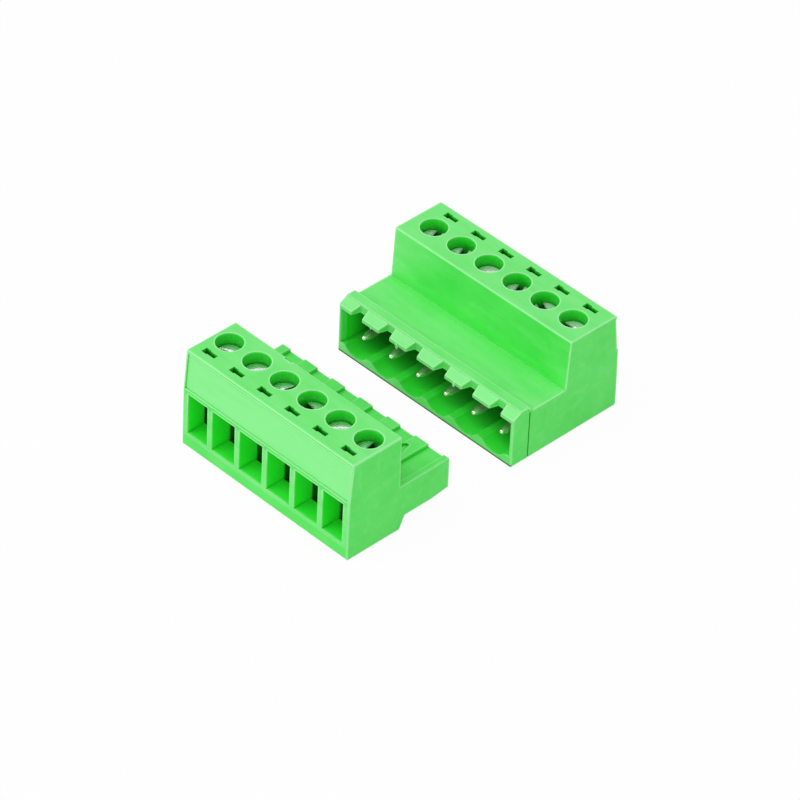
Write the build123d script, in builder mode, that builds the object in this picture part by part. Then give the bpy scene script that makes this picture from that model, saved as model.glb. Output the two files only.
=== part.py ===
"""Pluggable terminal block with six poles: a screw-clamp plug and the pin header that it plugs into.

The two halves stand unplugged on one floor, in line along Y. X runs along the row of poles, and the
plug travels along +Y into the header. Every pole has a screw, a cage that the screw lifts, and a
contact with a tongue that the cage presses the wire against. Depths are measured inward from a
half's wire face, and reaches are measured inward from the header's mouth.
"""

import os
from typing import NamedTuple

from build123d import *

# Row of poles and the stance of the pair
poles = 6
pitch = 5.08
height = 15.0
rest_gap = 10.48

# Plug moulding
plug_width = poles * pitch
plug_body_depth = 9.05
plug_top_rear_depth = 9.0
nose_length = 8.45
nose_top_z = 6.94
nose_bottom_z = 1.87
nose_tip_bottom_z = 2.25
nose_taper_length = 3.1
heel_length = 0.9
groove_width = 2.4
groove_depth = 0.5
rib_slant = 0.44
pit_depth = 0.35
pit_outline = [(-0.9, 13.4), (-0.9, 15.14), (-0.6, 15.55), (-0.13, 15.6), (0.45, 13.8), (0.45, 13.4)]
nick_x = -5.15
nick_width = 1.3
nick_depth = 0.4
dimple_inset = 0.58
dimple_z = 1.88
dimple_diameter = 0.35
dimple_depth = 0.15

# Socket openings in the nose
pin_axis_z = 3.0
socket_opening = 1.7
socket_lead_in = 0.3
socket_room_width = 2.6
socket_room_bottom_z = 1.6
socket_room_top_z = 4.6
socket_end_wall = 0.8

# Header moulding
shroud_side_gap = 0.1
shroud_wall = 0.66
shroud_top_gap = 0.06
shroud_reach = 8.2
ridge_z = 1.48
scallop_radius = 2.5
scallop_gap = 0.12
lip_z = 7.5
rim_z = 8.33
rim_front_reach = 1.35
rim_step = 0.12
rim_back_reach = 2.8
shelf_z = 7.54
shelf_front_reach = 3.4
tower_foot_reach = 9.39
tower_top_reach = 9.86
header_depth = 19.05
notch_mouth_width = 2.08
notch_back_width = 1.4
notch_back_offset = 0.12
notch_reach = 1.3
mouth_lead_in_width = 0.28
mouth_lead_in_reach = 0.9
seam_reach = 3.0
seam_width = 0.18
seam_depth = 0.14
seam_height = 7.44

# Wire faces of both halves
kink_z = 9.03
field_bottom_z = 9.25
field_top_z = 14.5
field_side_rim = 0.35
field_depth = 0.18
funnel_width = 4.2
funnel_bottom_z = 2.35
funnel_top_z = 8.6
funnel_depth = 2.8
funnel_end_wall = 1.0
throat_bottom_z = 2.55
throat_top_z = 8.45

# Clamp chambers and screw wells
chamber_width = 3.86
chamber_bottom_z = 1.5
chamber_top_z = 10.9
chamber_back_depth = 8.15
well_diameter = 3.75
well_seat_z = 11.85
shank_hole_diameter = 2.7

# Test slots beside the wells
slot_block_width = 0.9
slot_block_depth = 0.95
slot_block_drop = 2.0
slot_bar_width = 1.3
slot_bar_depth = 0.68
slot_bar_drop = 1.2
slot_left = -1.08

# Screws
head_diameter = 3.6
head_thickness = 1.4
head_seat_gap = 0.05
shank_diameter = 2.4
shank_tip_gap = 0.05
drive_slot_width = 0.85
drive_slot_drop = 0.8
plug_screw_turns = [27, 56, 76, -10, 48, -79]
header_screw_turns = [-73, -68, 51, -70, -26, 2]

# Clamp cages
cage_width = 3.6
cage_depth = 3.5
cage_bottom_z = 1.6
cage_height = 5.8
cage_window_width = 2.6
cage_floor = 0.6
cage_roof = 1.2
cage_thread_gap = 0.05

# Contacts
tongue_width = 2.2
tongue_start_depth = 3.6
tongue_bottom_z = 5.4
tongue_thickness = 0.75
riser_thickness = 0.6
riser_back_gap = 0.05
contact_bend = 0.45
fork_height = 1.6
fork_arm = 0.4
fork_gap = 1.12
fork_flare = 0.2
fork_flare_length = 1.0
fork_end_margin = 0.4
pin_side = 1.0
pin_tip_reach = 1.25
pin_tip_length = 1.1
pin_tip_side = 0.5
pin_hole_gap = 0.02

# How far a cutting tool runs past the face that it opens
overcut = 0.1

# Rounding of the mouldings
foot_round = 0.3
edge_round = 0.2
end_chamfer = 0.15
mouth_round = 0.25

# Positions that follow from the sizes above
plug_depth = plug_body_depth + nose_length
total_depth = plug_depth + rest_gap + header_depth
plug_face_y = -total_depth / 2
nose_end_y = plug_face_y + plug_depth
mouth_y = nose_end_y + rest_gap
mouth_half_width = plug_width / 2 + shroud_side_gap
mouth_top_z = nose_top_z + shroud_top_gap
header_width = 2 * (mouth_half_width + shroud_wall)
head_bottom_z = well_seat_z + head_seat_gap
head_top_z = head_bottom_z + head_thickness
tongue_top_z = tongue_bottom_z + tongue_thickness
riser_back_depth = chamber_back_depth - riser_back_gap
riser_front_depth = riser_back_depth - riser_thickness
cage_roof_bottom_z = cage_bottom_z + cage_height - cage_roof
pole_x = [(index - (poles - 1) / 2) * pitch for index in range(poles)]
divider_x = [(index - poles / 2) * pitch for index in range(1, poles)]


class Half(NamedTuple):
    """One half of the pair, seen from its wire face."""

    name: str
    width: float
    face_y: float
    inward: int
    kink_setback: float
    top_setback: float
    well_depth: float
    slot_depth: float
    field_half_width: float
    screw_turns: list

    def y(self, depth):
        return self.face_y + self.inward * depth


plug_field = plug_width / 2 - field_side_rim
header_field = header_width / 2 + overcut
plug = Half("plug", plug_width, plug_face_y, 1, 0.1, 0.66, 5.66, 2.32, plug_field, plug_screw_turns)
header = Half(
    "header", header_width, -plug_face_y, -1, 0.24, 0.94, 5.48, 2.35, header_field, header_screw_turns
)


def face_setback(half, z):
    """How far the slanted upper wire face lies behind its foot at height z."""
    share = (z - kink_z) / (height - kink_z)
    return half.kink_setback + share * (half.top_setback - half.kink_setback)


# One screw well with the seat of the head and the shank hole, about the Z axis
with BuildPart() as screw_well:
    with BuildSketch(Plane.XY.offset(well_seat_z)):
        Circle(well_diameter / 2)
    extrude(amount=height - well_seat_z + overcut)
    with BuildSketch(Plane.XY.offset(chamber_top_z - overcut)):
        Circle(shank_hole_diameter / 2)
    extrude(amount=well_seat_z - chamber_top_z + 2 * overcut)

# One test slot: a deep block with a shallower bar beside it
with BuildPart() as test_slot:
    with BuildSketch(Plane.XY.offset(height)):
        with Locations((slot_left, 0)):
            Rectangle(slot_block_width, slot_block_depth, align=(Align.MIN, Align.CENTER))
    extrude(amount=-slot_block_drop)
    with BuildSketch(Plane.XY.offset(height)):
        with Locations((slot_left, 0)):
            Rectangle(slot_block_width + slot_bar_width, slot_bar_depth, align=(Align.MIN, Align.CENTER))
    extrude(amount=-slot_bar_drop)


def cut_marking_field(half):
    """Shallow field for labels, sunk into the slanted part of the wire face."""
    with BuildSketch(Plane.YZ) as field:
        with BuildLine():
            Polyline(
                (half.y(-1), field_bottom_z),
                (half.y(face_setback(half, field_bottom_z) + field_depth), field_bottom_z),
                (half.y(face_setback(half, field_top_z) + field_depth), field_top_z),
                (half.y(-1), field_top_z),
                close=True,
            )
        make_face()
    extrude(field.sketch, amount=half.field_half_width, both=True, mode=Mode.SUBTRACT)


def wire_funnels(half):
    """Tapered wire entries. The outermost ones are cut short of the end walls."""
    limit = half.width / 2 - funnel_end_wall
    narrowing = (funnel_width - chamber_width) / 2
    with BuildPart() as funnels:
        with BuildSketch(Plane.XY):
            for x in pole_x:
                left = max(x - funnel_width / 2, -limit)
                right = min(x + funnel_width / 2, limit)
                Polygon(
                    (left, half.y(0)),
                    (right, half.y(0)),
                    (right - narrowing, half.y(funnel_depth)),
                    (left + narrowing, half.y(funnel_depth)),
                    align=None,
                )
        extrude(amount=height)
        with BuildSketch(Plane.YZ):
            Polygon(
                (half.y(0), funnel_bottom_z),
                (half.y(0), funnel_top_z),
                (half.y(funnel_depth), throat_top_z),
                (half.y(funnel_depth), throat_bottom_z),
                align=None,
            )
        extrude(amount=half.width, both=True, mode=Mode.INTERSECT)
    return funnels.part


def cut_clamp_room(half):
    """Chambers for the cages, the wells above them and the test slots in the top."""
    room = chamber_back_depth - funnel_depth
    with BuildSketch(Plane.XY.offset(chamber_bottom_z)) as chambers:
        with Locations((0, half.y(funnel_depth + room / 2))):
            with GridLocations(pitch, 1, poles, 1):
                Rectangle(chamber_width, room)
    extrude(chambers.sketch, amount=chamber_top_z - chamber_bottom_z, mode=Mode.SUBTRACT)
    with Locations((0, half.y(half.well_depth))):
        with GridLocations(pitch, 1, poles, 1):
            add(screw_well.part, mode=Mode.SUBTRACT)
    with Locations((0, half.y(half.slot_depth))):
        with GridLocations(pitch, 1, poles, 1):
            add(test_slot.part, mode=Mode.SUBTRACT)


plug_funnels = wire_funnels(plug)
header_funnels = wire_funnels(header)

# Plug housing
with BuildPart() as plug_housing:
    with BuildSketch(Plane.YZ):
        with BuildLine():
            Polyline(
                (plug.y(0), 0),
                (plug.y(plug.kink_setback), kink_z),
                (plug.y(plug.top_setback), height),
                (plug.y(plug_top_rear_depth), height),
                (plug.y(plug_body_depth), nose_top_z),
                (nose_end_y, nose_top_z),
                (nose_end_y, nose_tip_bottom_z),
                (nose_end_y - nose_taper_length, nose_bottom_z),
                (plug.y(plug_body_depth + heel_length), nose_bottom_z),
                (plug.y(plug_body_depth), 0),
                close=True,
            )
        make_face()
    extrude(amount=plug_width / 2, both=True)
    end_faces = plug_housing.faces().filter_by(Axis.X)
    chamfer(end_faces.edges().filter_by(lambda edge: edge.center().Z > nose_top_z), end_chamfer)
    fillet(plug_housing.edges().filter_by(Axis.X).group_by(Axis.Z)[0].sort_by(Axis.Y)[0], foot_round)
    fillet(plug_housing.edges().filter_by(Axis.X).group_by(Axis.Z)[-1], edge_round)
    fillet(plug_housing.edges().filter_by(Axis.X).group_by(Axis.Y)[-1].sort_by(Axis.Z)[-1], edge_round)

    # Rounded keels under the sockets, which run in the header's scallops
    with BuildSketch(Plane.XZ.offset(-nose_end_y)) as keels:
        with Locations((0, pin_axis_z)):
            with GridLocations(pitch, 1, poles, 1):
                Circle(scallop_radius - scallop_gap)
    extrude(amount=nose_length)

    # Grooves over the sockets leave a rib on every divider, each with one slanted flank
    with BuildSketch(Plane.XZ.offset(-plug.y(plug_body_depth))):
        with Locations((0, nose_top_z)):
            with GridLocations(pitch, 1, poles, 1):
                Polygon(
                    (-groove_width / 2, -groove_depth),
                    (groove_width / 2, -groove_depth),
                    (groove_width / 2 + rib_slant, 0),
                    (groove_width / 2 + rib_slant, overcut),
                    (-groove_width / 2, overcut),
                    align=None,
                )
    extrude(amount=-(nose_length + overcut), mode=Mode.SUBTRACT)

    # Slanted pits in the ribs
    with BuildSketch(Plane.XY.offset(nose_top_z)):
        with Locations([(x, plug_face_y) for x in divider_x]):
            Polygon(*pit_outline, align=None)
    extrude(amount=-pit_depth, mode=Mode.SUBTRACT)

    # Socket rooms, open to the clamp chambers, and the pin openings in the nose
    socket_room_depth = plug_depth - socket_end_wall - chamber_back_depth
    with BuildSketch(Plane.XZ.offset(-plug.y(chamber_back_depth - overcut))):
        with Locations((0, socket_room_bottom_z)):
            with GridLocations(pitch, 1, poles, 1):
                Rectangle(
                    socket_room_width,
                    socket_room_top_z - socket_room_bottom_z,
                    align=(Align.CENTER, Align.MIN),
                )
    extrude(amount=-(socket_room_depth + overcut), mode=Mode.SUBTRACT)
    with BuildSketch(Plane.XZ.offset(-nose_end_y)):
        with Locations((0, pin_axis_z)):
            with GridLocations(pitch, 1, poles, 1):
                Rectangle(socket_opening, socket_opening)
    extrude(amount=socket_end_wall + overcut, mode=Mode.SUBTRACT)
    with BuildSketch(Plane.XZ.offset(-nose_end_y)):
        with Locations((0, pin_axis_z)):
            with GridLocations(pitch, 1, poles, 1):
                Rectangle(socket_opening + 2 * socket_lead_in, socket_opening + 2 * socket_lead_in)
    extrude(amount=socket_lead_in, taper=45, mode=Mode.SUBTRACT)

    # Nick in the top rear edge
    with BuildSketch(Plane.XY.offset(height)):
        with Locations((nick_x, plug.y(plug_top_rear_depth))):
            Rectangle(nick_width, 2 * nick_depth)
    extrude(amount=-nick_depth, mode=Mode.SUBTRACT)

    # Ejector mark beside the last wire entry
    with BuildSketch(Plane.XZ.offset(-plug.y(0))):
        with Locations((plug_width / 2 - dimple_inset, dimple_z)):
            Circle(dimple_diameter / 2)
    extrude(amount=-(face_setback(plug, 0) + dimple_depth), mode=Mode.SUBTRACT)

    cut_marking_field(plug)
    add(plug_funnels, mode=Mode.SUBTRACT)
    cut_clamp_room(plug)

plug_housing.part.label = "plug_housing"

# Header housing
with BuildPart() as header_housing:
    with BuildSketch(Plane.YZ):
        with BuildLine():
            Polyline(
                (mouth_y, 0),
                (mouth_y, lip_z),
                (mouth_y + rim_front_reach, rim_z - rim_step),
                (mouth_y + rim_front_reach, rim_z),
                (mouth_y + rim_back_reach, rim_z),
                (mouth_y + shelf_front_reach, shelf_z),
                (mouth_y + tower_foot_reach, shelf_z),
                (mouth_y + tower_top_reach, height),
                (header.y(header.top_setback), height),
                (header.y(header.kink_setback), kink_z),
                (header.y(0), 0),
                close=True,
            )
        make_face()
    extrude(amount=header_width / 2, both=True)
    fillet(header_housing.edges().filter_by(Axis.X).group_by(Axis.Z)[0].sort_by(Axis.Y)[-1], foot_round)
    fillet(header_housing.edges().filter_by(Axis.X).group_by(Axis.Z)[-1], edge_round)
    fillet(header_housing.edges().filter_by(Axis.Z).group_by(Axis.Y)[0], mouth_round)

    # Mouth with a scalloped floor
    with BuildSketch(Plane.XZ.offset(-mouth_y)):
        with Locations((0, ridge_z)):
            Rectangle(2 * mouth_half_width, mouth_top_z - ridge_z, align=(Align.CENTER, Align.MIN))
        with Locations((0, pin_axis_z)):
            with GridLocations(pitch, 1, poles, 1):
                Circle(scallop_radius)
    extrude(amount=-shroud_reach, mode=Mode.SUBTRACT)

    # Notches that split the mouth's upper lip into teeth
    with BuildSketch(Plane.XY.offset(rim_z + overcut)):
        with Locations([(x, mouth_y) for x in pole_x]):
            Polygon(
                (-notch_mouth_width / 2, 0),
                (notch_mouth_width / 2, 0),
                (notch_back_offset + notch_back_width / 2, notch_reach),
                (notch_back_offset - notch_back_width / 2, notch_reach),
                align=None,
            )
    extrude(amount=-(rim_z + overcut - pin_axis_z), mode=Mode.SUBTRACT)

    # Lead-in on both side walls of the mouth
    with BuildSketch(Plane.XY.offset(ridge_z)):
        with Locations((0, mouth_y)):
            Polygon(
                (-mouth_half_width - mouth_lead_in_width, 0),
                (mouth_half_width + mouth_lead_in_width, 0),
                (mouth_half_width, mouth_lead_in_reach),
                (-mouth_half_width, mouth_lead_in_reach),
                align=None,
            )
    extrude(amount=mouth_top_z - ridge_z, mode=Mode.SUBTRACT)

    # Holes that the pins are pressed through
    with BuildSketch(Plane.XZ.offset(-(mouth_y + shroud_reach - overcut))):
        with Locations((0, pin_axis_z)):
            with GridLocations(pitch, 1, poles, 1):
                Rectangle(pin_side + 2 * pin_hole_gap, pin_side + 2 * pin_hole_gap)
    extrude(amount=-(header_depth - shroud_reach - chamber_back_depth + 2 * overcut), mode=Mode.SUBTRACT)

    # Thin seam down both sides
    with BuildSketch(Plane.YZ.offset(header_width / 2)) as seam:
        with Locations((mouth_y + seam_reach, 0)):
            Rectangle(seam_width, seam_height, align=(Align.CENTER, Align.MIN))
    extrude(amount=-seam_depth, mode=Mode.SUBTRACT)
    extrude(seam.sketch.mirror(Plane.YZ), amount=seam_depth, mode=Mode.SUBTRACT)

    cut_marking_field(header)
    add(header_funnels, mode=Mode.SUBTRACT)
    cut_clamp_room(header)

header_housing.part.label = "header_housing"

# Clamp cage about the Z axis, shared by every pole
with BuildPart() as cage:
    with BuildSketch(Plane.XY.offset(cage_bottom_z)):
        Rectangle(cage_width, cage_depth)
    extrude(amount=cage_height)
    with BuildSketch(Plane.XZ):
        with Locations((0, cage_bottom_z + cage_floor)):
            Rectangle(
                cage_window_width,
                cage_roof_bottom_z - cage_bottom_z - cage_floor,
                align=(Align.CENTER, Align.MIN),
            )
    extrude(amount=cage_depth, both=True, mode=Mode.SUBTRACT)
    with BuildSketch(Plane.XY.offset(cage_roof_bottom_z)):
        Circle(shank_diameter / 2 + cage_thread_gap)
    extrude(amount=cage_roof, mode=Mode.SUBTRACT)

# Screw about the Z axis, before its slot is cut
with BuildPart() as screw_blank:
    with BuildSketch(Plane.XY.offset(head_bottom_z)):
        Circle(head_diameter / 2)
    extrude(amount=head_thickness)
    with BuildSketch(Plane.XY.offset(tongue_top_z + shank_tip_gap)):
        Circle(shank_diameter / 2)
    extrude(amount=head_bottom_z - tongue_top_z - shank_tip_gap)


def bend_contact(half, foot_z):
    """Tongue over the wire and the riser that carries the current down to foot_z."""
    with BuildSketch(Plane.YZ) as side:
        with BuildLine():
            Polyline(
                (half.y(tongue_start_depth), tongue_bottom_z),
                (half.y(tongue_start_depth), tongue_top_z),
                (half.y(riser_back_depth), tongue_top_z),
                (half.y(riser_back_depth), foot_z),
                (half.y(riser_front_depth), foot_z),
                (half.y(riser_front_depth), tongue_bottom_z),
                close=True,
            )
        make_face()
        top_corners = side.vertices().group_by(Axis.Y)[-1].sort_by(Axis.X)
        fillet(top_corners[-1 if half.inward > 0 else 0], contact_bend)
    extrude(side.sketch, amount=tongue_width / 2, both=True)


# Forked socket of the plug at x = 0
fork_start_y = plug.y(riser_front_depth)
fork_end_y = nose_end_y - socket_end_wall - fork_end_margin
with BuildPart() as socket:
    bend_contact(plug, pin_axis_z - fork_height / 2)
    with BuildSketch(Plane.XY.offset(pin_axis_z)):
        with BuildLine():
            Polyline(
                (fork_gap / 2, fork_start_y),
                (fork_gap / 2, fork_end_y - fork_flare_length),
                (fork_gap / 2 + fork_flare, fork_end_y),
                (fork_gap / 2 + fork_flare + fork_arm, fork_end_y),
                (fork_gap / 2 + fork_arm, fork_end_y - fork_flare_length),
                (fork_gap / 2 + fork_arm, fork_start_y),
                close=True,
            )
        make_face()
        mirror(about=Plane.YZ)
    extrude(amount=fork_height / 2, both=True)

# Square pin of the header at x = 0
tip_y = mouth_y + pin_tip_reach
pin_end_y = header.y(riser_front_depth)
with BuildPart() as pin:
    bend_contact(header, pin_axis_z - pin_side / 2)
    with BuildSketch(Plane.XZ.offset(-tip_y)):
        with Locations((0, pin_axis_z)):
            Rectangle(pin_side, pin_side)
    extrude(amount=-(pin_end_y - tip_y))
    tip = pin.faces().sort_by(Axis.Y)[0]
    chamfer(tip.edges(), (pin_side - pin_tip_side) / 2, pin_tip_length, reference=tip)

os.makedirs("parts", exist_ok=True)
export_step(plug_housing.part, "parts/plug_housing.step")
export_step(header_housing.part, "parts/header_housing.step")

for half, contact, contact_name in ((plug, socket, "socket"), (header, pin, "pin")):
    for number, x in enumerate(pole_x, 1):
        turn = half.screw_turns[number - 1]
        well_y = half.y(half.well_depth)

        # Screw with a slot right across its head
        with BuildPart() as screw:
            with Locations((x, well_y)):
                add(screw_blank.part)
            with BuildSketch(Plane.XY.offset(head_top_z)):
                with Locations((x, well_y)):
                    Rectangle(2 * head_diameter, drive_slot_width, rotation=turn)
            extrude(amount=-drive_slot_drop, mode=Mode.SUBTRACT)
        screw.part.label = f"{half.name}_screw_{number}"
        export_step(screw.part, f"parts/{half.name}_screw_{number}.step")

        with BuildPart() as clamp:
            with Locations((x, well_y)):
                add(cage.part)
        clamp.part.label = f"{half.name}_clamp_{number}"
        export_step(clamp.part, f"parts/{half.name}_clamp_{number}.step")

        with BuildPart() as pole_contact:
            with Locations((x, 0)):
                add(contact.part)
        pole_contact.part.label = f"{half.name}_{contact_name}_{number}"
        export_step(pole_contact.part, f"parts/{half.name}_{contact_name}_{number}.step")
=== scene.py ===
"""Scene of a pluggable terminal block with six poles: the plug and its pin header, unplugged.

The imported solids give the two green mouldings. The screws, cages and contacts are built here in
full detail, each in the place of its solid. Lengths are in millimetres, in the frame of the solids,
and are turned into metres where a mesh is made or a node is set.
"""

import math

import bmesh
import bpy
from mathutils import Matrix, Vector


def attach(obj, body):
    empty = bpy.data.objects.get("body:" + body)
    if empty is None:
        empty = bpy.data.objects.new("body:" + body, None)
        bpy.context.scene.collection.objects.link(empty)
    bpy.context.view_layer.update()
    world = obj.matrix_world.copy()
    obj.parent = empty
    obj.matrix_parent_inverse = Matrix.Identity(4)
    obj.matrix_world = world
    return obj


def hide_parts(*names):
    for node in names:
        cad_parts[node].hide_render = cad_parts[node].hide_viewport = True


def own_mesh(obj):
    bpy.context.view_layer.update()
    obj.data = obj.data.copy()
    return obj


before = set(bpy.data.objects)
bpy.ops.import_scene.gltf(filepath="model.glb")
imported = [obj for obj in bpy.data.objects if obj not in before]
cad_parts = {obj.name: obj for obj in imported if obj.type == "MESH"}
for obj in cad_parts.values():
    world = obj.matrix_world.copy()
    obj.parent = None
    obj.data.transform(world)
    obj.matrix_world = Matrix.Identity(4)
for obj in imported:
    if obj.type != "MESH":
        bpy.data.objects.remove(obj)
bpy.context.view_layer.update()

MM = 0.001
scene = bpy.context.scene

# ---------------------------------------------------------------- sizes shared with the solids
POLES = 6
PITCH = 5.08
POLE_X = [(n - (POLES - 1) / 2) * PITCH for n in range(POLES)]
LENGTH = 47.03
HALF_LENGTH = LENGTH / 2
HEIGHT = 15.0
PLUG_BODY_DEPTH = 9.05
NOSE_LENGTH = 8.45
REST_GAP = 10.48
MOUTH_Y = -HALF_LENGTH + PLUG_BODY_DEPTH + NOSE_LENGTH + REST_GAP
PLUG_WELL_Y = -HALF_LENGTH + 5.66
HEADER_WELL_Y = HALF_LENGTH - 5.48
PLUG_TURNS = [27, 56, 76, -10, 48, -79]
HEADER_TURNS = [-73, -68, 51, -70, -26, 2]

# marking fields, sunk into the slanted upper part of each wire face
KINK_Z = 9.03
FIELD_BOTTOM = 9.25
FIELD_TOP = 14.5
FIELD_DEPTH = 0.18
PLUG_SETBACKS = (0.1, 0.66)
HEADER_SETBACKS = (0.24, 0.94)

HEAD_RADIUS = 1.8
HEAD_TOP = 13.3
HEAD_BOTTOM = 11.9
SHANK_RADIUS = 1.2
SHANK_TIP = 6.2
THREAD_PITCH = 0.45
THREAD_DEPTH = 0.2
RINGS_PER_TURN = 7

CAGE_HALF_WIDTH = 1.8
CAGE_HALF_DEPTH = 1.75
CAGE_BOTTOM = 1.6
CAGE_TOP = 7.4
CAGE_WINDOW_HALF = 1.3
CAGE_FLOOR_TOP = 2.2
CAGE_ROOF_BOTTOM = 6.2
CAGE_RIDGES = 6
CAGE_RIDGE_DEPTH = 0.14

# sockets of the Mix node, whose names repeat for each type of data
MIX_FACTOR = 0
MIX_VECTORS = (4, 5)
MIX_COLOURS = (6, 7)
VECTOR_RESULT = 1
COLOUR_RESULT = 2


# ---------------------------------------------------------------- node helpers
def new_material(name):
    material = bpy.data.materials.new(name)
    material.use_nodes = True
    tree = material.node_tree
    tree.nodes.clear()
    output = tree.nodes.new("ShaderNodeOutputMaterial")
    return material, tree, output


def add(tree, kind, values=(), **settings):
    """A new node with its settings, and the values of its input sockets by name."""
    node = tree.nodes.new(kind)
    for key, value in settings.items():
        setattr(node, key, value)
    for key, value in dict(values).items():
        node.inputs[key].default_value = value
    return node


def link(tree, source, socket, target, target_socket):
    tree.links.new(source.outputs[socket], target.inputs[target_socket])


def output_of(value):
    """A node's first output, or the output that a (node, socket) pair names."""
    if isinstance(value, bpy.types.Node):
        return value.outputs[0]
    return value[0].outputs[value[1]]


def ramp(tree, source, socket, stops):
    node = tree.nodes.new("ShaderNodeValToRGB")
    elements = node.color_ramp.elements
    for element, (place, colour) in zip(elements, stops):
        element.position = place
        element.color = (*colour, 1.0)
    link(tree, source, socket, node, "Fac")
    return node


def level(tree, source, socket, low, high, out_low, out_high):
    """Turns the range from low to high into that from out_low to out_high, and stays within it."""
    node = add(
        tree,
        "ShaderNodeMapRange",
        {"From Min": low, "From Max": high, "To Min": out_low, "To Max": out_high},
    )
    node.clamp = True
    link(tree, source, socket, node, "Value")
    return node


def level_mm(tree, source, socket, limits, out_low, out_high):
    """level() over a place or a distance, with its two limits in millimetres."""
    low, high = limits
    return level(tree, source, socket, low * MM, high * MM, out_low, out_high)


def maths(tree, operation, *inputs):
    """A Math node. Each input is a number, a node or a (node, socket) pair."""
    node = add(tree, "ShaderNodeMath", operation=operation)
    for slot, value in enumerate(inputs):
        if isinstance(value, (int, float)):
            node.inputs[slot].default_value = value
        else:
            tree.links.new(output_of(value), node.inputs[slot])
    return node


def mix_colour(tree, factor, first, second):
    """Mixes two colours, each three numbers or a (node, socket) pair, by a node's first output."""
    node = add(tree, "ShaderNodeMix", data_type="RGBA")
    link(tree, factor, 0, node, MIX_FACTOR)
    for slot, value in zip(MIX_COLOURS, (first, second)):
        if isinstance(value[0], bpy.types.Node):
            tree.links.new(output_of(value), node.inputs[slot])
        else:
            node.inputs[slot].default_value = (*value, 1.0)
    return node


def noise(tree, coordinates, scale, detail=3.0, roughness=0.5):
    values = {"Scale": scale, "Detail": detail, "Roughness": roughness}
    node = add(tree, "ShaderNodeTexNoise", values)
    link(tree, *coordinates, node, "Vector")
    return node


def band(tree, value, low, high, soft):
    """1 between low and high, falling to 0 over soft on both sides."""
    rise = level(tree, *value, low - soft, low, 0.0, 1.0)
    fall = level(tree, *value, high, high + soft, 1.0, 0.0)
    return maths(tree, "MULTIPLY", rise, fall)


def split_vector(tree, source, socket):
    node = add(tree, "ShaderNodeSeparateXYZ")
    link(tree, source, socket, node, "Vector")
    return node


def slanted_face(tree, split, foot, top, tolerance=0.05):
    """1 on the face that runs along X through two points (y, z) in millimetres, else 0."""
    (y_foot, z_foot), (y_top, z_top) = foot, top
    slope = (y_top - y_foot) / (z_top - z_foot)
    plane_y = maths(tree, "MULTIPLY_ADD", (split, "Z"), slope, (y_foot - z_foot * slope) * MM)
    off_plane = maths(tree, "SUBTRACT", (split, "Y"), plane_y)
    distance = maths(tree, "ABSOLUTE", off_plane)
    near = level_mm(tree, distance, 0, (tolerance, 1.6 * tolerance), 1.0, 0.0)
    between = band(tree, (split, "Z"), z_foot * MM, z_top * MM, 0.03 * MM)
    return maths(tree, "MULTIPLY", near, between)


def openness(tree, reach):
    """How open the piece's own form is within reach: 1 on free faces, less in hollows."""
    return add(
        tree,
        "ShaderNodeAmbientOcclusion",
        {"Distance": reach * MM},
        only_local=True,
        samples=6,
    )


def occlusion(tree, reach, low, high):
    """1 where the surface within reach closes in on itself, 0 on open faces."""
    return level(tree, openness(tree, reach), "AO", low, high, 1.0, 0.0)


def chamber(tree, split, across, along, up, soft=0.12):
    """1 within a box given by its limits along X, Y and Z, with soft ends along Y."""
    inside = band(tree, (split, "X"), across[0] * MM, across[1] * MM, 0.12 * MM)
    for axis, (low, high), fade in (("Y", along, soft), ("Z", up, 0.12)):
        within = band(tree, (split, axis), low * MM, high * MM, fade * MM)
        inside = maths(tree, "MULTIPLY", inside, within)
    return inside


# ---------------------------------------------------------------- green moulded plastic
# Besides the pigment's own greens, these paint light and shade: a paler sheen, edge highlights, and
# shade in hollows, creases and unlit ends. The pale and edge greens also give the strain whitening
# of torn gates.
GREEN = (0.105, 0.81, 0.118)
GREEN_DEEP = (0.072, 0.76, 0.086)
GREEN_PALE = (0.250, 0.88, 0.270)
GREEN_EDGE = (0.42, 0.96, 0.44)
GREEN_HOLLOW_SHADE = (0.012, 0.92, 0.018)
GREEN_SHADE = (0.012, 0.42, 0.022)
GREEN_DARK = (0.001, 0.05, 0.003)

# places where the look changes, in millimetres
OPEN_Z = (6.9, 7.4)  # upward faces above this lie in the open and get the painted sheen
RAISED_EDGE_Z = (6.5, 7.5)  # edges above this get more of the painted highlight
TOP_ROUNDING_Z = (14.2, 14.4)
FOOT_SHADOW_Z = (0.14, 0.34)
LEFT_END_X = (-16.0, -7.0)  # the painted sheen of the row's left end fades out over this
SIDE_X = (14.85, 15.1)  # the end faces of both halves lie beyond this
HEADER_SIDE_X = (15.6, 15.75)
DIVIDER_SPAN = (-14.9, 14.9)
DIVIDER_Z = (1.75, 8.3)
DIVIDER_DEPTH = 0.3


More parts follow.
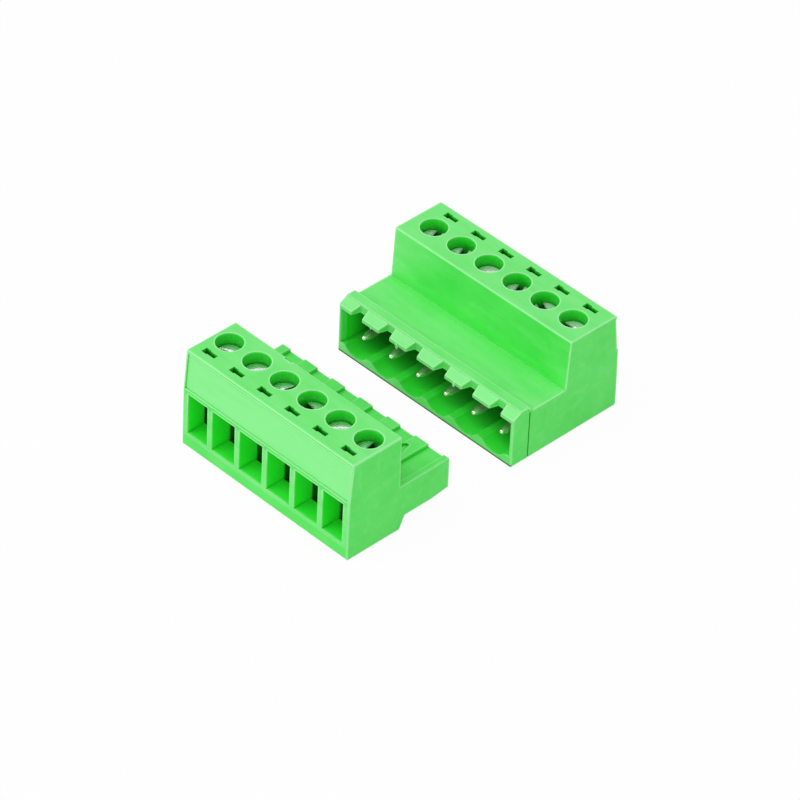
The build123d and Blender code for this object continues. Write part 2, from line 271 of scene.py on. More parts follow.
def matt_and_sheen(tree, split, facing, flow, frosted_faces, wire_face, left_sheen):
    """Shares of the matt texture and of the painted sheen: a paler tone painted on textured and
    upward faces, on the front faces of the row's left end and on the dividers, with random flow
    marks.
    """
    frosted = None
    for foot, top in frosted_faces:
        face = slanted_face(tree, split, foot, top)
        frosted = maths(tree, "MAXIMUM", frosted, face) if frosted else face
    upward = level(tree, facing, "Z", 0.8, 0.98, 0.0, 1.0)
    in_open = level_mm(tree, split, "Z", OPEN_Z, 0.0, 1.0)
    upper = maths(tree, "MULTIPLY", upward, in_open)
    matt = maths(tree, "MULTIPLY", upper, 0.5)
    matt = maths(tree, "MAXIMUM", matt, frosted)
    cloud = level(tree, flow, "Fac", 0.40, 0.70, -0.10, 0.22)
    sheen = maths(tree, "ADD", matt, cloud)
    to_end = level_mm(tree, split, "X", LEFT_END_X, left_sheen, 0.0)
    frontal = level(tree, facing, "Y", -0.9, -0.6, 1.0, 0.0)
    sheen = maths(tree, "ADD", sheen, maths(tree, "MULTIPLY", to_end, frontal))
    at_wire_face = (wire_face - DIVIDER_DEPTH, wire_face + DIVIDER_DEPTH)
    divider = chamber(tree, split, DIVIDER_SPAN, at_wire_face, DIVIDER_Z)
    sheen = maths(tree, "ADD", sheen, maths(tree, "MULTIPLY", divider, 0.45))
    sheen.use_clamp = True
    return matt, sheen


def edge_highlight(tree, geometry, split, facing, sideways, plain_boxes):
    """Share of the painted highlight along outer edges."""
    rounding = add(tree, "ShaderNodeBevel", {"Radius": 0.42 * MM}, samples=8)
    bend = add(tree, "ShaderNodeVectorMath", operation="DOT_PRODUCT")
    link(tree, rounding, "Normal", bend, 0)
    link(tree, geometry, "Normal", bend, 1)
    turned = level(tree, bend, "Value", 0.992, 0.945, 0.0, 1.0)
    raised = level_mm(tree, split, "Z", RAISED_EDGE_Z, 0.22, 0.95)
    at_side = level_mm(tree, sideways, 0, SIDE_X, 0.0, 0.65)
    share = maths(tree, "MAXIMUM", raised, at_side)
    for box in plain_boxes:
        outside = maths(tree, "SUBTRACT", 1.0, chamber(tree, split, *box))
        share = maths(tree, "MULTIPLY", share, outside)
    turned = maths(tree, "MULTIPLY", turned, share)

    # painted highlights on the solids' own roundings: the upright corners, and the rounding along
    # the top
    upright = maths(tree, "MULTIPLY", (facing, "X"), (facing, "Y"))
    upright = maths(tree, "ABSOLUTE", upright)
    upright = level(tree, upright, 0, 0.1, 0.4, 0.0, 0.7)
    upright = maths(tree, "MULTIPLY", upright, at_side)
    turned = maths(tree, "MAXIMUM", turned, upright)
    rounded = band(tree, (facing, "Z"), 0.3, 0.8, 0.14)
    near_top = level_mm(tree, split, "Z", TOP_ROUNDING_Z, 0.0, 0.7)
    rounded = maths(tree, "MULTIPLY", rounded, near_top)
    return maths(tree, "MAXIMUM", turned, rounded)


def painted_hollow_shade(tree, split, facing, chambers, dark_chambers):
    """Shares of the painted hollow shade on the walls of openings and of the painted dark at their
    unlit ends.
    """
    reach = openness(tree, 4.0)
    hollow = level(tree, reach, "AO", 0.35, 0.68, 1.0, 0.0)
    lit_floor = level(tree, facing, "Z", 0.5, 0.95, 1.0, 0.82)
    for box, share in chambers:
        walled = maths(tree, "MULTIPLY", chamber(tree, split, *box), share)
        walled = maths(tree, "MULTIPLY", walled, lit_floor)
        hollow = maths(tree, "MAXIMUM", hollow, walled)
    deepest = level(tree, reach, "AO", 0.08, 0.40, 0.97, 0.0)
    for box, share in dark_chambers:
        unlit = maths(tree, "MULTIPLY", chamber(tree, split, *box), share)
        deepest = maths(tree, "MAXIMUM", deepest, unlit)
    return hollow, deepest


def foot_shadow(tree, split, foot_y):
    """Share of the painted contact shadow, a dark line along the lowest edge of the face at foot_y.
    """
    distance = maths(tree, "SUBTRACT", (split, "Y"), foot_y * MM)
    distance = maths(tree, "ABSOLUTE", distance)
    on_foot = level_mm(tree, distance, 0, (0.05, 0.3), 1.0, 0.0)
    low = level_mm(tree, split, "Z", FOOT_SHADOW_Z, 0.97, 0.0)
    return maths(tree, "MULTIPLY", on_foot, low)


def mould_relief(tree, place, geometry, crevice, matt):
    """Normals with small roundings on outer edges, fine grain and shallow sink waves."""
    rounding = add(tree, "ShaderNodeBevel", {"Radius": 0.1 * MM}, samples=4)
    eased = add(tree, "ShaderNodeMix", data_type="VECTOR")
    link(tree, crevice, 0, eased, MIX_FACTOR)
    link(tree, rounding, "Normal", eased, MIX_VECTORS[0])
    link(tree, geometry, "Normal", eased, MIX_VECTORS[1])
    grain = noise(tree, (place, "Object"), 5200.0, 3.0, 0.6)
    fine = add(tree, "ShaderNodeBump", {"Distance": 0.004 * MM})
    link(tree, level(tree, matt, 0, 0.0, 1.0, 0.06, 0.5), 0, fine, "Strength")
    link(tree, grain, "Fac", fine, "Height")
    link(tree, eased, VECTOR_RESULT, fine, "Normal")
    waves = noise(tree, (place, "Object"), 260.0, 2.0, 0.5)
    broad = add(tree, "ShaderNodeBump", {"Strength": 0.25, "Distance": 0.05 * MM})
    link(tree, waves, "Fac", broad, "Height")
    link(tree, fine, "Normal", broad, "Normal")
    return broad


def moulded_plastic(
    name, frosted_faces, foot_y, wire_face, chambers, dark_chambers, plain_boxes, left_sheen=0.0
):
    """Glossy green moulding compound, with light and shade painted into its colour. frosted_faces
    are the slanted faces with the mould's fine spark texture, each as two points (y, z); they also
    get a painted sheen. foot_y is the face whose lowest edge gets a painted contact shadow, and
    wire_face the one with the wire entries, whose dividers get a painted highlight. The chambers
    are boxes round the walls of openings, each with its share of the painted hollow shade, and the
    dark_chambers are boxes round their unlit ends, each with its share of the painted dark. Edges
    within the plain_boxes get no painted highlight. The last argument is how much painted sheen the
    row's left end gets on its front faces."""
    material, tree, output = new_material(name)
    place = add(tree, "ShaderNodeTexCoord")
    geometry = add(tree, "ShaderNodeNewGeometry")
    shader = add(tree, "ShaderNodeBsdfPrincipled", {"IOR": 1.5, "Specular IOR Level": 0.3})
    split = split_vector(tree, place, "Object")
    facing = split_vector(tree, geometry, "Normal")
    sideways = maths(tree, "ABSOLUTE", (split, "X"))

    # slow drift of the pigment, and flow marks drawn out along the row
    drift = noise(tree, (place, "Object"), 140.0, 3.0, 0.55)
    stretch = add(tree, "ShaderNodeMapping", {"Scale": (0.22, 1.0, 1.0)})
    link(tree, place, "Object", stretch, "Vector")
    flow = noise(tree, (stretch, "Vector"), 620.0, 4.0, 0.6)
    drifting = level(tree, drift, "Fac", 0.36, 0.62, 0.0, 1.0)
    pigment = mix_colour(tree, drifting, GREEN_DEEP, GREEN)
    matt, sheen = matt_and_sheen(tree, split, facing, flow, frosted_faces, wire_face, left_sheen)
    # the pigment made paler by the painted sheen
    with_sheen = mix_colour(tree, sheen, (pigment, COLOUR_RESULT), GREEN_PALE)

    # painted highlights on outer edges, painted shade in inner corners, and painted hollow shade in
    # openings
    turned = edge_highlight(tree, geometry, split, facing, sideways, plain_boxes)
    hollow, deepest = painted_hollow_shade(tree, split, facing, chambers, dark_chambers)
    crevice = occlusion(tree, 0.25, 0.52, 0.86)
    off_crevice = maths(tree, "SUBTRACT", 1.0, crevice)
    off_hollow = maths(tree, "SUBTRACT", 1.0, hollow)
    outside = maths(tree, "MULTIPLY", off_crevice, off_hollow)
    edge = maths(tree, "MULTIPLY", turned, outside)
    inner = mix_colour(tree, hollow, (with_sheen, COLOUR_RESULT), GREEN_HOLLOW_SHADE)
    with_highlights = mix_colour(tree, edge, (inner, COLOUR_RESULT), GREEN_EDGE)
    crevice_shade = maths(tree, "MULTIPLY", crevice, 0.6)
    with_crevice_shade = mix_colour(tree, crevice_shade, (with_highlights, COLOUR_RESULT), GREEN_SHADE)
    # painted dark shade in deep cavities, at the unlit ends of openings and along the foot
    cavity = occlusion(tree, 1.3, 0.14, 0.44)
    off_side = level_mm(tree, sideways, 0, HEADER_SIDE_X, 0.75, 0.1)
    deep = maths(tree, "MULTIPLY", cavity, off_side)
    shade = maths(tree, "MAXIMUM", deep, deepest)
    shade = maths(tree, "MAXIMUM", shade, foot_shadow(tree, split, foot_y))
    coloured = mix_colour(tree, shade, (with_crevice_shade, COLOUR_RESULT), GREEN_DARK)
    link(tree, coloured, COLOUR_RESULT, shader, "Base Color")

    relief = mould_relief(tree, place, geometry, crevice, matt)
    link(tree, relief, "Normal", shader, "Normal")
    polish = level(tree, drift, "Fac", 0.3, 0.7, 0.32, 0.42)
    dull = maths(tree, "MULTIPLY_ADD", matt, 0.2, polish)
    link(tree, dull, 0, shader, "Roughness")
    link(tree, shader, "BSDF", output, "Surface")
    return material


def torn_plastic(name):
    """The same compound where it tore off at a gate, paler from the strain."""
    material, tree, output = new_material(name)
    place = add(tree, "ShaderNodeTexCoord")
    shader = add(
        tree,
        "ShaderNodeBsdfPrincipled",
        {"Roughness": 0.45, "IOR": 1.5, "Specular IOR Level": 0.3},
    )
    strain = noise(tree, (place, "Object"), 4200.0)
    tint = ramp(tree, strain, "Fac", [(0.3, GREEN_PALE), (0.55, GREEN_EDGE)])
    link(tree, tint, "Color", shader, "Base Color")
    link(tree, shader, "BSDF", output, "Surface")
    return material


# ---------------------------------------------------------------- metals
# near-black painted shade for the metals' hollows and slots
METAL_SHADE = (0.02, 0.045, 0.04)
STAIN_SCALE = 900.0
SLOT_SHADE_Z = (-0.45, -0.17)  # from the head's top, which is the screw's own zero


def plated_metal(name, colour, dark, roughness, rings=False, metallic=1.0):
    """Bright plating with faint stains, and painted shade in its hollows. rings is for a screw: it
    adds the turning marks of the head about local Z, and painted shade on the walls and floor of
    the slot under the bright rim."""
    material, tree, output = new_material(name)
    place = add(tree, "ShaderNodeTexCoord")
    shader = add(tree, "ShaderNodeBsdfPrincipled", {"Metallic": metallic})
    stain = noise(tree, (place, "Object"), STAIN_SCALE, 3.0, 0.55)
    tint = ramp(tree, stain, "Fac", [(0.32, dark), (0.58, colour)])
    # painted shade where the metal closes in on itself
    closed = occlusion(tree, 0.8, 0.2, 0.62)
    closed = maths(tree, "MULTIPLY", closed, 0.85)
    if rings:
        split = split_vector(tree, place, "Object")
        sunk = level_mm(tree, split, "Z", SLOT_SHADE_Z, 0.9, 0.0)
        closed = maths(tree, "MAXIMUM", closed, sunk)
    shaded = mix_colour(tree, closed, (tint, "Color"), METAL_SHADE)
    link(tree, shaded, COLOUR_RESULT, shader, "Base Color")
    rough = level(tree, stain, "Fac", 0.3, 0.7, roughness + 0.08, roughness)
    link(tree, rough, 0, shader, "Roughness")
    grain = noise(tree, (place, "Object"), 9.0 * STAIN_SCALE, 2.0, 0.5)
    relief = add(tree, "ShaderNodeBump", {"Strength": 0.1, "Distance": 0.002 * MM})
    link(tree, grain, "Fac", relief, "Height")
    if rings:
        wave = add(
            tree,
            "ShaderNodeTexWave",
            {"Scale": 1100.0, "Distortion": 0.5, "Detail": 1.0, "Detail Scale": 2.0},
            wave_type="RINGS",
            rings_direction="Z",
        )
        link(tree, place, "Object", wave, "Vector")
        marks = add(tree, "ShaderNodeBump", {"Strength": 0.9, "Distance": 0.02 * MM})
        link(tree, wave, "Fac", marks, "Height")
        link(tree, relief, "Normal", marks, "Normal")
        relief = marks
    link(tree, relief, "Normal", shader, "Normal")
    link(tree, shader, "BSDF", output, "Surface")
    return material


# ---------------------------------------------------------------- mesh helpers
def mesh_object(name, verts, faces):
    mesh = bpy.data.meshes.new(name)
    mesh.from_pydata([tuple(c * MM for c in v) for v in verts], [], faces)
    mesh.validate()
    obj = bpy.data.objects.new(name, mesh)
    scene.collection.objects.link(obj)
    return obj


def clean_normals(obj):
    work = bmesh.new()
    work.from_mesh(obj.data)
    bmesh.ops.remove_doubles(work, verts=work.verts, dist=1e-7)
    bmesh.ops.recalc_face_normals(work, faces=work.faces)
    work.to_mesh(obj.data)
    work.free()
    obj.data.update()


def skin(rows, around):
    """Faces of a closed tube whose vertices come in rows, each of as many as around."""
    faces = []
    for row in range(rows - 1):
        for step in range(around):
            after = (step + 1) % around
            low, high = row * around, (row + 1) * around
            faces.append((low + step, low + after, high + after, high + step))
    faces.append(tuple(reversed(range(around))))
    faces.append(tuple(range((rows - 1) * around, rows * around)))
    return faces


def ringed(name, rings, segments):
    """Closed solid about Z. Each ring is its z and its radius, which may depend on the angle."""
    verts = []
    for z, radius in rings:
        for step in range(segments):
            angle = 2 * math.pi * step / segments
            r = radius(angle) if callable(radius) else radius
            verts.append((r * math.cos(angle), r * math.sin(angle), z))
    return mesh_object(name, verts, skin(len(rings), segments))


def prism(name, outline, low, high, axis):
    """Closed prism: outline in the plane across axis X or Z, from low to high along it."""

    def spot(a, b, c):
        return {"X": (c, a, b), "Z": (a, b, c)}[axis]

    count = len(outline)
    verts = [spot(a, b, low) for a, b in outline] + [spot(a, b, high) for a, b in outline]
    faces = [tuple(range(count)), tuple(reversed(range(count, 2 * count)))]
    for step in range(count):
        after = (step + 1) % count
        faces.append((step, step + count, after + count, after))
    obj = mesh_object(name, verts, faces)
    clean_normals(obj)
    return obj


def apply_modifiers(obj):
    depsgraph = bpy.context.evaluated_depsgraph_get()
    mesh = bpy.data.meshes.new_from_object(obj.evaluated_get(depsgraph))
    old = obj.data
    obj.modifiers.clear()
    obj.data = mesh
    bpy.data.meshes.remove(old)


def cut(obj, *tools):
    """Takes the tools out of obj, and removes them."""
    for tool in tools:
        modifier = obj.modifiers.new("cut", "BOOLEAN")
        modifier.operation = "DIFFERENCE"
        modifier.solver = "EXACT"
        modifier.object = tool
    bpy.context.view_layer.update()
    apply_modifiers(obj)
    for tool in tools:
        mesh = tool.data
        bpy.data.objects.remove(tool)
        bpy.data.meshes.remove(mesh)


def soften(obj, width, segments, angle):
    modifier = obj.modifiers.new("round", "BEVEL")
    modifier.width = width * MM
    modifier.segments = segments
    modifier.limit_method = "ANGLE"
    modifier.angle_limit = math.radians(angle)
    modifier.use_clamp_overlap = True
    bpy.context.view_layer.update()
    apply_modifiers(obj)


def smooth(obj, angle):
    obj.data.shade_smooth()
    obj.data.set_sharp_from_angle(angle=math.radians(angle))


def paint(mesh, material):
    mesh.materials.clear()
    mesh.materials.append(material)


# ---------------------------------------------------------------- clamp screw
def thread_radius(z, outer, depth):
    """Radius of a right-hand thread at height z, as a function of the angle."""

    def at(angle):
        phase = (z / THREAD_PITCH - angle / (2 * math.pi)) % 1.0
        tooth = abs(2 * phase - 1)
        return outer - depth * min(1.0, max(0.0, 1.25 * tooth - 0.1))

    return at


def thread_rings(start, end, outer, run_in=0, run_out=0):
    """Rings of a thread from start to end. It grows over run_in rings and dies over run_out."""
    rows = int((end - start) / THREAD_PITCH * RINGS_PER_TURN)
    rings = []
    for row in range(rows + 1):
        z = start + (end - start) * row / rows
        grown = row / run_in if run_in else 1.0
        left = (rows - row) / run_out if run_out else 1.0
        depth = THREAD_DEPTH * min(1.0, grown, left)
        rings.append((z, thread_radius(z, outer, depth)))
    return rings


def screw_blank():
    """The screw before its slot is cut: tapered tip, threaded shank, plain neck, rounded head."""
    rings = [(SHANK_TIP, 0.75), (SHANK_TIP + 0.3, 0.95)]
    rings += thread_rings(SHANK_TIP + 0.34, HEAD_BOTTOM - 0.35, SHANK_RADIUS - 0.02, 7, 5)
    rings += [(HEAD_BOTTOM - 0.3, 1.08), (HEAD_BOTTOM - 0.08, 1.1), (HEAD_BOTTOM, 1.17)]
    rings += [(HEAD_BOTTOM, HEAD_RADIUS - 0.08), (HEAD_BOTTOM + 0.08, HEAD_RADIUS)]
    rings += [(HEAD_TOP - 0.2, HEAD_RADIUS), (HEAD_TOP - 0.1, HEAD_RADIUS - 0.03)]
    rings += [(HEAD_TOP - 0.03, HEAD_RADIUS - 0.1), (HEAD_TOP, HEAD_RADIUS - 0.2)]
    rings += [(HEAD_TOP, HEAD_RADIUS - 0.6), (HEAD_TOP, 0.6), (HEAD_TOP, 0.12)]
    return ringed("screw_blank", rings, 56)


def slot_cutter(name, top_half, low_half, depth):
    """Tapered bar along X that cuts the slot, with a shallow scored ridge left along its floor."""
    over, reach = 0.1, HEAD_RADIUS + 0.4
    top = HEAD_TOP + over
    wide = top_half + (top_half - low_half) * over / depth
    low = HEAD_TOP - depth
    outline = [(-wide, top), (-low_half, low), (-0.1, low), (0.0, low + 0.08 * depth), (0.1, low)]
    outline += [(low_half, low), (wide, top)]
    return prism(name, outline, -reach, reach, "X")


def make_screw():
    """A whole screw with its slot along X, its head's top at zero."""
    screw = screw_blank()
    clean_normals(screw)
    cut(
        screw,
        slot_cutter("slot", 0.425, 0.4, 0.8),
        slot_cutter("slot_rim", 0.58, 0.41, 0.17),
    )
    screw.data.transform(Matrix.Translation((0, 0, -HEAD_TOP * MM)))
    smooth(screw, 32.0)
    return screw


# ---------------------------------------------------------------- clamp cage
def make_cage_blank():
    """Cage with its window, whose floor has ridges across the wire, and a solid roof."""
    width, depth = CAGE_HALF_WIDTH, CAGE_HALF_DEPTH
    outline = [(-width, -depth), (width, -depth), (width, depth), (-width, depth)]
    cage = prism("cage", outline, CAGE_BOTTOM, CAGE_TOP, "Z")

    past = depth + 0.2
    step = 2 * depth / CAGE_RIDGES
    window = [(-past, CAGE_ROOF_BOTTOM), (-past, CAGE_FLOOR_TOP)]
    for ridge in range(CAGE_RIDGES):
        base = -depth + ridge * step
        window += [(base, CAGE_FLOOR_TOP), (base + step / 2, CAGE_FLOOR_TOP - CAGE_RIDGE_DEPTH)]
    window += [(depth, CAGE_FLOOR_TOP), (past, CAGE_FLOOR_TOP), (past, CAGE_ROOF_BOTTOM)]
    cut(cage, prism("window", window, -CAGE_WINDOW_HALF, CAGE_WINDOW_HALF, "X"))
    return cage


def tapped_cage(blank, turn):
    """Mesh of the blank with a thread tapped in its roof, in step with a screw turned by turn."""
    cage = bpy.data.objects.new("tapped_cage", blank.data.copy())
    scene.collection.objects.link(cage)
    rings = thread_rings(CAGE_ROOF_BOTTOM - 0.1, CAGE_TOP + 0.1, SHANK_RADIUS + 0.05)
    tap = ringed("tap", rings, 40)
    clean_normals(tap)
    tap.data.transform(Matrix.Rotation(math.radians(turn), 4, "Z"))
    cut(cage, tap)
    clean_normals(cage)
    soften(cage, 0.09, 2, 60.0)
    smooth(cage, 40.0)
    mesh = cage.data
    bpy.data.objects.remove(cage)
    paint(mesh, cage_zinc)
    return mesh


# ---------------------------------------------------------------- contacts
PIN_ROUNDING = 0.24
SOCKET_ROUNDING = 0.06


def solid_copy(node, name):
    """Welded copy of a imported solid, with flat areas merged, ready for rounding."""
    obj = bpy.data.objects.new(name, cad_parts[node].data.copy())
    obj.data.materials.clear()
    scene.collection.objects.link(obj)
    work = bmesh.new()
    work.from_mesh(obj.data)
    bmesh.ops.remove_doubles(work, verts=work.verts, dist=2e-6)
    bmesh.ops.dissolve_limit(
        work, angle_limit=math.radians(1.0), verts=work.verts, edges=work.edges
    )
    bmesh.ops.recalc_face_normals(work, faces=work.faces)
    work.to_mesh(obj.data)
    work.free()
    for attribute in [a.name for a in obj.data.attributes if a.name.startswith("custom_normal")]:
        obj.data.attributes.remove(obj.data.attributes[attribute])
    return obj


# ---------------------------------------------------------------- gate marks
# place in pitches from the middle, half width, top, bottom and how far it stands out. Two hang in
# front of the second and fourth inner tooth, and the last is a burr at the first.
NIBS = (
    (-1.02, 0.16, 7.60, 6.45, 0.34),
    (1.04, 0.15, 7.55, 6.60, 0.32),
    (-1.97, 0.12, 7.20, 6.80, 0.20),
)
NIB_ROWS = 9
NIB_SEGMENTS = 12


def gate_nib(name, x, half_width, top, bottom, proud):
    """Small torn ridge on the front of a tooth, which swells and shrinks down its length."""
    verts = []
    for row in range(NIB_ROWS):
        share = row / (NIB_ROWS - 1)
        swell = math.sin(math.pi * min(0.97, 0.08 + 0.92 * share)) ** 0.6
        lean = 0.12 * half_width * math.sin(5 * share)
        z = top + (bottom - top) * share
        for step in range(NIB_SEGMENTS):
            angle = 2 * math.pi * step / NIB_SEGMENTS
            out = proud * swell * max(-0.2, math.sin(angle))
            verts.append((x + lean + half_width * swell * math.cos(angle), MOUTH_Y + 0.06 - out, z))
    nib = mesh_object(name, verts, skin(NIB_ROWS, NIB_SEGMENTS))
    clean_normals(nib)
    smooth(nib, 50.0)
    return nib


# ---------------------------------------------------------------- materials in use
TOOTH_SLOPE = ((MOUTH_Y, 7.5), (MOUTH_Y + 1.35, 8.21))
WELL_REACH = 2.1
ENTRY_SPAN = (-14.8, 14.8)
ENTRY_Z = (1.3, 8.6)
WELL_Z = (9.5, 14.75)
MOUTH_SPAN = (-15.6, 15.6)
MOUTH_Z = (0.5, 7.0)
MOUTH_END = MOUTH_Y + 9.0


def marking_field(face_y, setbacks, inward):
    """Foot and top of the sunk marking field on a wire face, as points (y, z)."""
    kink_setback, top_setback = setbacks

    def point(z):
        share = (z - KINK_Z) / (HEIGHT - KINK_Z)
        back = kink_setback + share * (top_setback - kink_setback) + FIELD_DEPTH
        return face_y + inward * back, z

    return point(FIELD_BOTTOM), point(FIELD_TOP)


def wire_side(face_y, inward, well_y):
    """Boxes round one half's wire entries and screw wells, for the painted hollow shade, and round
    the entries' ends, for the painted dark.
    """

    def along(near, far):
        return tuple(sorted((face_y + inward * near, face_y + inward * far)))

    entries = (ENTRY_SPAN, along(0.25, 5.2), ENTRY_Z)
    wells = (ENTRY_SPAN, (well_y - WELL_REACH, well_y + WELL_REACH), WELL_Z)
    ends = (ENTRY_SPAN, along(3.2, 8.0), ENTRY_Z, 0.3)
    return [(entries, 0.88), (wells, 0.8)], [(ends, 0.9)]


def slot_strip(face_y, inward):
    """Box round the row of test slots in the top."""
    ends = sorted((face_y + inward * 1.45, face_y + inward * 3.1))
    return ENTRY_SPAN, tuple(ends), (14.3, 15.2)


seam_span = (MOUTH_Y + 2.5, MOUTH_Y + 3.5)
seams = [(sides, seam_span, (-0.2, 7.7)) for sides in ((-16.2, -15.5), (15.5, 16.2))]
plug_boxes, plug_dark = wire_side(-HALF_LENGTH, 1, PLUG_WELL_Y)
header_boxes, header_dark = wire_side(HALF_LENGTH, -1, HEADER_WELL_Y)
# the mouth gets the painted hollow shade, and painted dark towards its back
header_boxes.append(((MOUTH_SPAN, (MOUTH_Y + 0.3, MOUTH_END), MOUTH_Z), 0.72))
header_dark.append(((MOUTH_SPAN, (MOUTH_Y + 5.5, MOUTH_END), MOUTH_Z, 3.8), 0.66))
housing_green = {
    "plug": moulded_plastic(
        "green_plug",
        [marking_field(-HALF_LENGTH, PLUG_SETBACKS, 1)],
        -HALF_LENGTH - 5,  # ahead of the plug, whose foot gets no painted shadow
        -HALF_LENGTH,
        plug_boxes,
        plug_dark,
        [slot_strip(-HALF_LENGTH, 1)],
    ),
    "header": moulded_plastic(
        "green_header",
        [marking_field(HALF_LENGTH, HEADER_SETBACKS, -1), TOOTH_SLOPE],
        MOUTH_Y,
        HALF_LENGTH,
        header_boxes,
        header_dark,
        [slot_strip(HALF_LENGTH, -1)] + seams,
        left_sheen=0.5,
    ),
}
screw_zinc = {
    half: plated_metal(
        f"zinc_screw_{half}",
        (0.92, 0.95, 0.98),
        (0.76, 0.81, 0.86),
        rough,
        rings=True,
        metallic=share,
    )
    # the same zinc twice: the header's copy is less metallic and rougher, which paints its heads
    # paler as painted light
    for half, rough, share in (("plug", 0.16, 0.88), ("header", 0.22, 0.55))
}
cage_zinc = plated_metal("zinc_cage", (0.76, 0.78, 0.80), (0.58, 0.60, 0.62), 0.28)
tin = plated_metal("tin_contact", (0.95, 0.93, 0.85), (0.82, 0.80, 0.70), 0.17, metallic=0.86)
gate_green = torn_plastic("gate_green")

for half, green in housing_green.items():
    paint(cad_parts[f"{half}_housing"].data, green)

# ---------------------------------------------------------------- place the detailed pieces
HALVES = (
    ("plug", PLUG_WELL_Y, PLUG_TURNS, "socket", SOCKET_ROUNDING),
    ("header", HEADER_WELL_Y, HEADER_TURNS, "pin", PIN_ROUNDING),
)
screw_model = make_screw()
cage_blank = make_cage_blank()
for half, well_y, turns, contact, rounding in HALVES:
    screw_mesh = screw_model.data.copy()
    paint(screw_mesh, screw_zinc[half])
    for number, (x, turn) in enumerate(zip(POLE_X, turns), 1):
        screw = bpy.data.objects.new(f"{half}_screw_{number}_threaded", screw_mesh)
        screw.location = (x * MM, well_y * MM, HEAD_TOP * MM)
        screw.rotation_euler = (0, 0, math.radians(turn))
        scene.collection.objects.link(screw)
        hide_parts(f"{half}_screw_{number}")
        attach(screw, f"{half}_screw_{number}")

        cage = bpy.data.objects.new(f"{half}_cage_{number}", tapped_cage(cage_blank, turn))
        cage.location = (x * MM, well_y * MM, 0)
        scene.collection.objects.link(cage)
        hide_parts(f"{half}_clamp_{number}")
        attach(cage, f"{half}_clamp_{number}")

        node = f"{half}_{contact}_{number}"
        piece = solid_copy(node, f"{node}_rounded")
        soften(piece, rounding, 4, 11.0)
        smooth(piece, 40.0)
        paint(piece.data, tin)
        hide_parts(node)
        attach(piece, half)

bpy.data.objects.remove(screw_model)
bpy.data.objects.remove(cage_blank)

for number, (pitches, half_width, top, bottom, proud) in enumerate(NIBS, 1):
    nib = gate_nib(f"header_gate_{number}", pitches * PITCH, half_width, top, bottom, proud)
    paint(nib.data, gate_green)
    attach(nib, "header")
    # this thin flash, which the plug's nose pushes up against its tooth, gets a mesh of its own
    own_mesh(nib)

# ---------------------------------------------------------------- floor, backdrop and light
FLOOR_HALF = 900.0
FLOOR_Z = -0.02
FLOOR_GLOW = 0.955
WHITE = (1.0, 1.0, 1.0, 1.0)
LAMP_AIM = Vector((0.0, 0.0, 0.007))


def seen_rays(tree):
    """1 for the rays that show the backdrop: straight, in a gloss or through a surface. Else 0."""
    rays = add(tree, "ShaderNodeLightPath")
    seen = maths(tree, "MAXIMUM", (rays, "Is Camera Ray"), (rays, "Is Glossy Ray"))
    return maths(tree, "MAXIMUM", seen, (rays, "Is Transmission Ray"))


def blend_shaders(tree, share, first, first_socket, second, second_socket, output):
    blend = add(tree, "ShaderNodeMixShader")
    link(tree, share, 0, blend, 0)
    link(tree, first, first_socket, blend, 1)
    link(tree, second, second_socket, blend, 2)
    link(tree, blend, "Shader", output, "Surface")


def pale_floor():
    """Floor that takes shadows and bounces light as paper, and looks white to the camera."""
    material, tree, output = new_material("pale_floor")
    paper = add(tree, "ShaderNodeBsdfDiffuse", {"Color": (0.9, 0.9, 0.9, 1.0)})
    white = add(tree, "ShaderNodeEmission", {"Color": WHITE, "Strength": 1.0})
    share = maths(tree, "MULTIPLY", seen_rays(tree), FLOOR_GLOW)
    blend_shaders(tree, share, paper, "BSDF", white, "Emission", output)
    ends = [(-FLOOR_HALF, -FLOOR_HALF), (FLOOR_HALF, -FLOOR_HALF)]
    ends += [(FLOOR_HALF, FLOOR_HALF), (-FLOOR_HALF, FLOOR_HALF)]
    floor = mesh_object("floor", [(x, y, FLOOR_Z) for x, y in ends], [(0, 1, 2, 3)])
    floor.data.materials.append(material)
    return floor


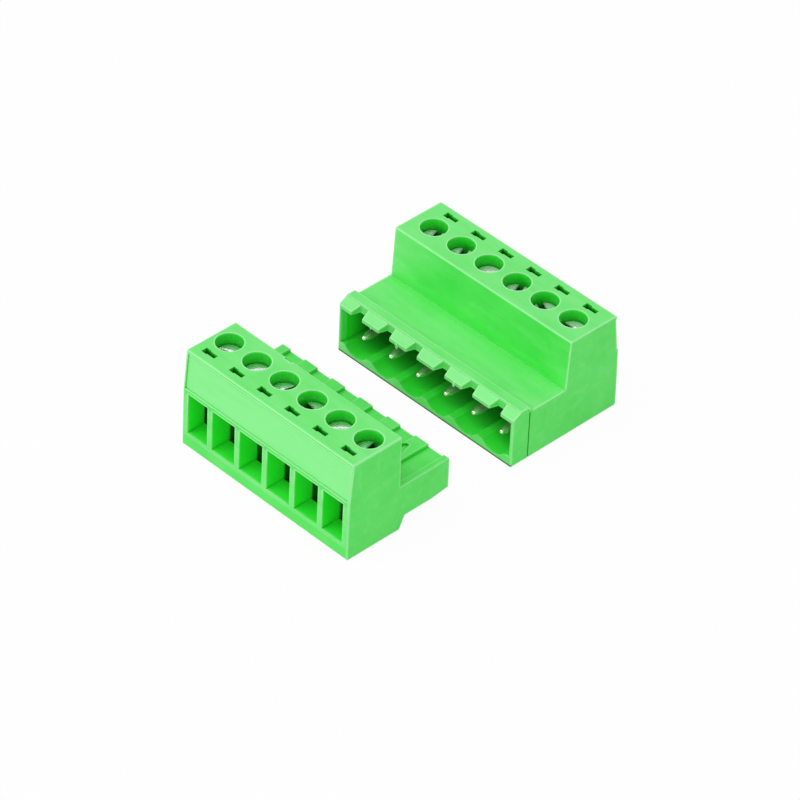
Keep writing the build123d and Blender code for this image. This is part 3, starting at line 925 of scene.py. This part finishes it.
def light_studio():
    """Soft white sky, brighter to the camera than as a light."""
    world = bpy.data.worlds.new("studio")
    scene.world = world
    world.use_nodes = True
    tree = world.node_tree
    tree.nodes.clear()
    output = tree.nodes.new("ShaderNodeOutputWorld")
    soft_sky = add(tree, "ShaderNodeBackground", {"Color": WHITE, "Strength": 0.66})
    white_sky = add(tree, "ShaderNodeBackground", {"Color": WHITE, "Strength": 1.0})
    seen = seen_rays(tree)
    blend_shaders(tree, seen, soft_sky, "Background", white_sky, "Background", output)


def softbox(name, place, size, watts):
    lamp = bpy.data.lights.new(name, "AREA")
    lamp.shape = "SQUARE"
    lamp.size = size
    lamp.energy = watts
    obj = bpy.data.objects.new(name, lamp)
    obj.location = place
    obj.rotation_euler = (LAMP_AIM - Vector(place)).to_track_quat("-Z", "Y").to_euler()
    scene.collection.objects.link(obj)


floor = pale_floor()
light_studio()
softbox("key", (-0.45, -0.35, 0.70), 0.6, 2.6)
softbox("front", (0.45, -0.60, 0.30), 0.5, 1.3)

# ---------------------------------------------------------------- camera at the photograph's view
AZIMUTH = math.radians(44.835)
ELEVATION = math.radians(39.228)
ROLL = math.radians(2.289)
DISTANCE = 0.64346
AIM = Vector((0.0, -3.515, 7.5)) * MM
FOCAL_PIXELS = 5071.4
PHOTO_SIZE = 800
SENSOR = 36.0
CENTRE_OFFSET = (-20.12, -11.73)


def photo_camera():
    back = Vector(
        (
            math.sin(AZIMUTH) * math.cos(ELEVATION),
            -math.cos(AZIMUTH) * math.cos(ELEVATION),
            math.sin(ELEVATION),
        )
    )
    right = Vector((math.cos(AZIMUTH), math.sin(AZIMUTH), 0))
    up = back.cross(right)
    rolled_right = math.cos(ROLL) * right + math.sin(ROLL) * up
    rolled_up = -math.sin(ROLL) * right + math.cos(ROLL) * up
    lens = bpy.data.cameras.new("photo_view")
    lens.sensor_fit = "HORIZONTAL"
    lens.sensor_width = SENSOR
    lens.lens = FOCAL_PIXELS * SENSOR / PHOTO_SIZE
    lens.shift_x = -CENTRE_OFFSET[0] / PHOTO_SIZE
    lens.shift_y = CENTRE_OFFSET[1] / PHOTO_SIZE
    lens.clip_start = 0.01
    lens.clip_end = 10.0
    camera = bpy.data.objects.new("photo_view", lens)
    turned = Matrix((rolled_right, rolled_up, back)).transposed().to_4x4()
    camera.matrix_world = Matrix.Translation(AIM + back * DISTANCE) @ turned
    scene.collection.objects.link(camera)
    return camera


scene.camera = photo_camera()
scene.view_settings.view_transform = "Standard"
